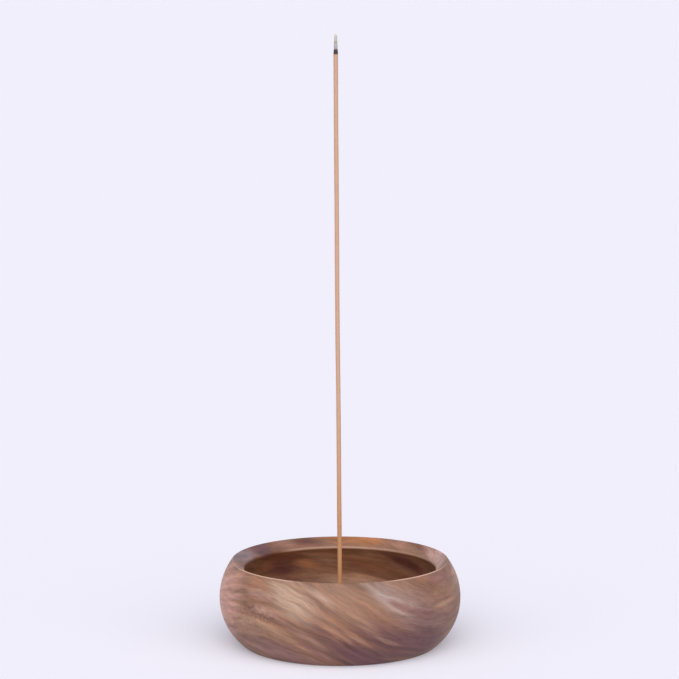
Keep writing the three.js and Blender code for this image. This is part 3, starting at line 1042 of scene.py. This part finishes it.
# %% The charred band
CHAR, CHAR_SPECK, FIRST_ASH = (0.026, 0.015, 0.016, 1), (0.058, 0.036, 0.036, 1), (0.30, 0.28, 0.26, 1)
GREYING_HEIGHT = 0.5  # mm, at the top
bench, shader = new_finish("char", char)
place = millimetres(bench)
specks = use(bench, fibres, Vector=place, Width=0.15, Length=0.25)
height = bench.parts(place)[2]
greying = bench.between(height, char_high[2] - GREYING_HEIGHT, char_high[2])
black = bench.mix(bench.between(specks, 0.4, 0.7), CHAR, CHAR_SPECK)
black = bench.mix(bench.maths("MULTIPLY", greying, 0.6), black, FIRST_ASH)
roughness = bench.maths("MULTIPLY_ADD", specks, 0.1, 0.85)
connect(bench, shader, Base_Color=black, Roughness=roughness, Normal=bump(bench, specks, 0.06))
print("char, greying over its last", GREYING_HEIGHT, "mm")

# %% The ash
ASH_GREYS = (  # share of the height, and the grey there
    (0.0, (0.30, 0.28, 0.29)), (0.3, (0.38, 0.36, 0.36)), (0.4, (0.26, 0.255, 0.20)),
    (0.58, (0.44, 0.43, 0.37)), (0.75, (0.37, 0.365, 0.29)), (1.0, (0.60, 0.57, 0.51)),
)
bench, shader = new_finish("standing_ash", ash)
place = millimetres(bench)
specks = use(bench, fibres, Vector=place, Width=0.2, Length=0.35)
height = bench.parts(place)[2]
up = bench.maths("DIVIDE", bench.maths("SUBTRACT", height, ash_low[2]), ash_high[2] - ash_low[2])
grey = bench.varied(bench.between(specks, 0.35, 0.7), bench.ramp(up, ASH_GREYS), (1.12,) * 3, (0.7,) * 3)
roughness = bench.maths("MULTIPLY_ADD", specks, 0.1, 0.88)
connect(bench, shader, Base_Color=grey, Roughness=roughness, Normal=bump(bench, specks, 0.05))
print("ash in", len(ASH_GREYS), "greys")

# %% [markdown]
# ## Floor, light and camera
# The burner stands on plain pale paper that runs far past it on every side. Two broad soft lights shine
# from above and in front, one on each side, and the room's own light fills the shadows. Suns with a wide
# disc do this evenly over the whole floor, where a lamp close by would leave a bright spot. The paper is
# lit a little from below too, as on a light table, so the shadow beside the bowl stays mild. A look that
# passes over the far edge of the paper, or a reflection, meets a wall of the same paper: the room is as
# bright there as the lit floor, while what it gives to the scene as light stays lower.

# %% The floor
FLOOR_RADIUS = 60_000  # mm
FLOOR_TOP, FLOOR_BOTTOM = -0.02, -20  # mm, just clear of the foot
floor_section = np.vstack([
    at(0, FLOOR_BOTTOM), at(FLOOR_RADIUS, FLOOR_BOTTOM), at(FLOOR_RADIUS, FLOOR_TOP), at(0, FLOOR_TOP),
])
floor = skin("floor", round_grid(floor_section, columns=64))
floor.data.shade_flat()
PAPER = (0.80, 0.785, 0.87)
LIGHT_ON_FLOOR = 1.089  # the room and both suns together, on level ground
FROM_BELOW = 0.22  # the share of the paper's brightness that comes through it from a lamp below
new_finish(
    "floor_paper", floor, Base_Color=(*(np.array(PAPER) * (1 - FROM_BELOW)), 1), Roughness=1.0, IOR=1.0,
    Emission_Color=(*PAPER, 1), Emission_Strength=FROM_BELOW * LIGHT_ON_FLOOR,
)
print("paper floor,", 2 * FLOOR_RADIUS * MM, "m across")

# %% The room
world = bpy.data.worlds.new("soft_room")
bpy.context.scene.world = world
world.use_nodes = True
ROOM_LIGHT = 0.354  # what the room's light adds, on the same scale as the light on the floor
ROOM_TINT = (0.94, 0.97, 1.13)  # daylight from a window, cooler than the lamps
bench = Bench(world.node_tree)
room = bench.add("ShaderNodeBackground", {"Color": (*ROOM_TINT, 1), "Strength": ROOM_LIGHT})
wall = bench.add("ShaderNodeBackground", {"Color": (*PAPER, 1), "Strength": LIGHT_ON_FLOOR})
look = bench.add("ShaderNodeLightPath").node.outputs
seen = bench.maths("MAXIMUM", look["Is Camera Ray"], look["Is Glossy Ray"])
backdrop = bench.add("ShaderNodeMixShader", {0: seen, 1: room, 2: wall})
bench.link(backdrop, bench.tree.nodes["World Output"].inputs["Surface"])
print("room light", ROOM_LIGHT)


# %% The suns
def add_sun(name, toward, strength, disc, colour):
    """A sun that shines from the direction toward, with a disc as wide as the given angle in degrees."""
    light = bpy.data.lights.new(name, "SUN")
    light.energy = strength
    light.angle = np.radians(disc)
    light.color = colour
    made = bpy.data.objects.new(name, light)
    bpy.context.scene.collection.objects.link(made)
    made.rotation_mode = "QUATERNION"
    made.rotation_quaternion = Vector(toward).to_track_quat("Z", "Y")


LAMP_COLOUR = (1.01, 1.0, 0.95)
LAMP_DISC = 85  # degrees
for name, side, strength in (("soft_light_left", -0.45, 1.86), ("soft_light_right", 0.45, 2.17)):
    add_sun(name, toward=(side, -1.0, 0.8), strength=strength, disc=LAMP_DISC, colour=LAMP_COLOUR)
    print(name, "of strength", strength)
bpy.context.scene.view_settings.view_transform = "Standard"

# %% The camera
camera_place = np.array([-0.2, -912.0, 233.6])  # mm
camera_pitch = 7.7  # degrees below level
focal_length = 136.8
sensor_width = 36
camera_data = bpy.data.cameras.new("camera")
camera_data.lens = focal_length
camera_data.sensor_width = sensor_width
camera = bpy.data.objects.new("camera", camera_data)
bpy.context.scene.collection.objects.link(camera)
camera.location = camera_place * MM
camera.rotation_euler = (np.radians(90 - camera_pitch), 0, 0)
bpy.context.scene.camera = camera
print("camera", camera_place, "mm, looking", camera_pitch, "degrees down")
